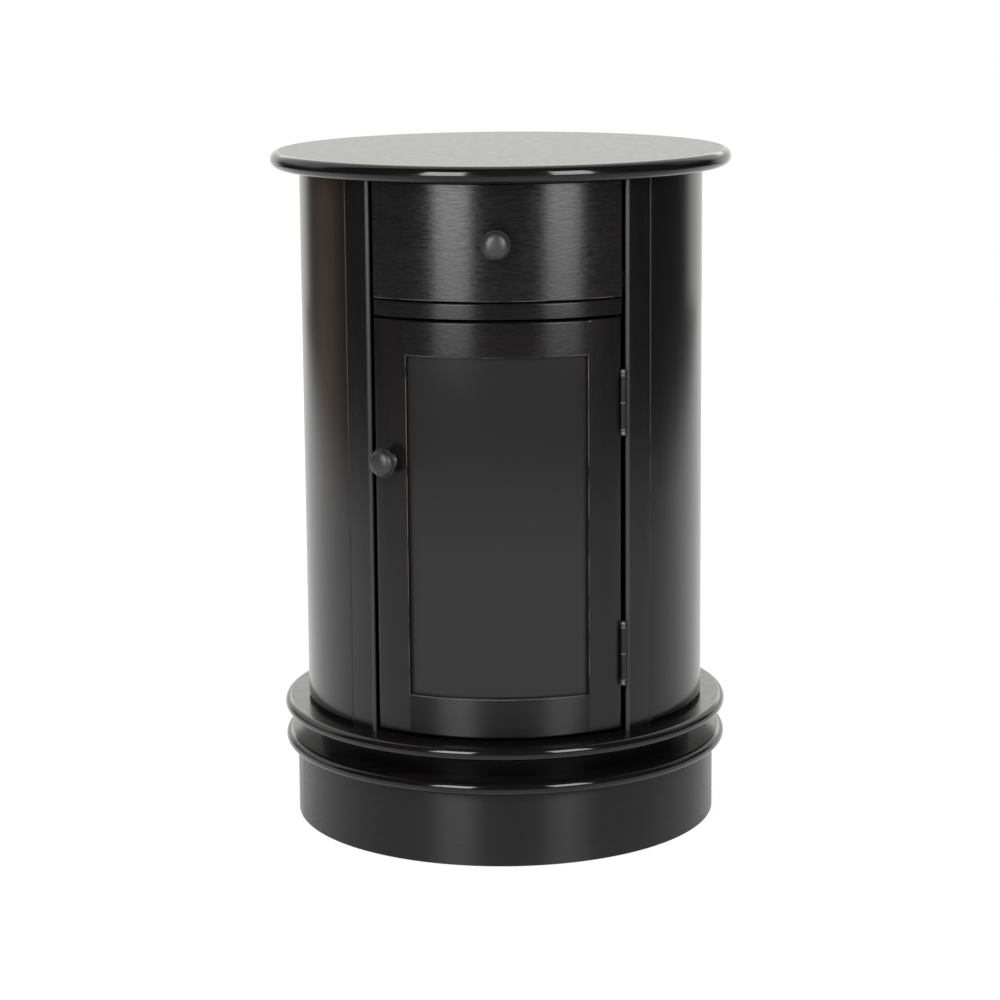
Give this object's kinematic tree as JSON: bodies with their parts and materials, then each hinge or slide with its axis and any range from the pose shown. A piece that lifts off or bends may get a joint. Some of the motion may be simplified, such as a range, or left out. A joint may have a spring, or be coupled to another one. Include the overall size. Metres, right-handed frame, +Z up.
{
  "type": "swivel accent table",
  "caption": "Round black side table: a drum cabinet with a bowed drawer over a framed, hinged door, turning on a ball bearing above a round fixed base.",
  "frame": {"origin": "on the floor, at the axis of the base", "axes": "+Z up along the swivel axis, -Y towards the front with the drawer and door, +X to the viewer's right"},
  "size_m": [0.455, 0.4548, 0.6705],
  "materials": {
    "black_lacquer": "satin black lacquer, rubbed through at the edges",
    "dark_stained_wood": "dark stain under thin lacquer",
    "bare_hardwood": "planed, not coated",
    "dark_bronze": "satin dark bronze",
    "aged_brass": "dark aged brass",
    "bright_aluminium": "turned",
    "bearing_steel": "polished",
    "zinc_plated_steel": "zinc plated",
    "black_plastic": "moulded",
    "magnet_steel": "ground",
    "white_nylon": "moulded"
  },
  "bodies": {
    "base": {"base_skirt": "black_lacquer", "base_blocks": "bare_hardwood", "base_block_screws": "zinc_plated_steel", "base_cap": "black_lacquer", "base_cap_screws": "zinc_plated_steel", "turntable_pad": "black_lacquer", "bearing_inner_ring": "bright_aluminium", "bearing_base_screws": "zinc_plated_steel", "floor_glides": "white_nylon"},
    "ball_ring": {"bearing_balls": "bearing_steel"},
    "cabinet": {"table_top": "black_lacquer", "left_post": "black_lacquer", "right_post": "black_lacquer", "left_side_panel": "black_lacquer", "right_side_panel": "black_lacquer", "divider_rail": "black_lacquer", "swivel_plate": "black_lacquer", "cabinet_floor": "dark_stained_wood", "divider_board": "dark_stained_wood", "sub_top": "dark_stained_wood", "back_batten": "dark_stained_wood", "divider_cleats": "dark_stained_wood", "drawer_guides": "bare_hardwood", "drawer_kickers": "bare_hardwood", "drawer_stop_rail": "bare_hardwood", "drawer_rear_stop": "bare_hardwood", "upper_hinge_frame_leaf": "aged_brass", "lower_hinge_frame_leaf": "aged_brass", "hinge_pins": "aged_brass", "hinge_frame_screws": "aged_brass", "bearing_outer_ring": "bright_aluminium", "bearing_plate_screws": "zinc_plated_steel", "floor_screws": "zinc_plated_steel", "post_screws": "zinc_plated_steel", "top_screws": "zinc_plated_steel", "catch_screws": "zinc_plated_steel", "catch_body": "black_plastic", "catch_magnet": "magnet_steel"},
    "drawer": {"drawer_front": "black_lacquer", "drawer_left_side": "dark_stained_wood", "drawer_right_side": "dark_stained_wood", "drawer_back": "dark_stained_wood", "drawer_bottom": "dark_stained_wood", "drawer_dowels": "bare_hardwood", "drawer_knob": "dark_bronze", "drawer_knob_screw": "zinc_plated_steel", "drawer_stop_block": "dark_stained_wood"},
    "door": {"door_latch_stile": "black_lacquer", "door_hinge_stile": "black_lacquer", "door_head_rail": "black_lacquer", "door_foot_rail": "black_lacquer", "door_panel": "black_lacquer", "door_knob": "dark_bronze", "door_knob_screw": "zinc_plated_steel", "catch_strike": "zinc_plated_steel", "strike_screw": "zinc_plated_steel", "upper_hinge_door_leaf": "aged_brass", "lower_hinge_door_leaf": "aged_brass", "hinge_door_screws": "aged_brass"}
  },
  "joints": [
    {"name": "swivel", "type": "hinge", "parent": "base", "child": "cabinet", "pos_m": [0, 0, 0.1025], "axis": [0, 0, 1], "continuous": true},
    {"name": "ball_ring_turn", "type": "hinge", "parent": "base", "child": "ball_ring", "pos_m": [0, 0, 0.1025], "axis": [0, 0, 1], "continuous": true},
    {"name": "drawer_slide", "type": "slide", "parent": "cabinet", "child": "drawer", "axis": [0, -1, 0], "range_m": [0, 0.2]},
    {"name": "door_swing", "type": "hinge", "parent": "cabinet", "child": "door", "pos_m": [0.118, -0.16224, 0.3232], "axis": [0, 0, 1], "range_deg": [0, 170]}
  ],
  "couplings": [
    {"joint": "ball_ring_turn", "follows": "swivel", "ratio": 0.5}
  ]
}
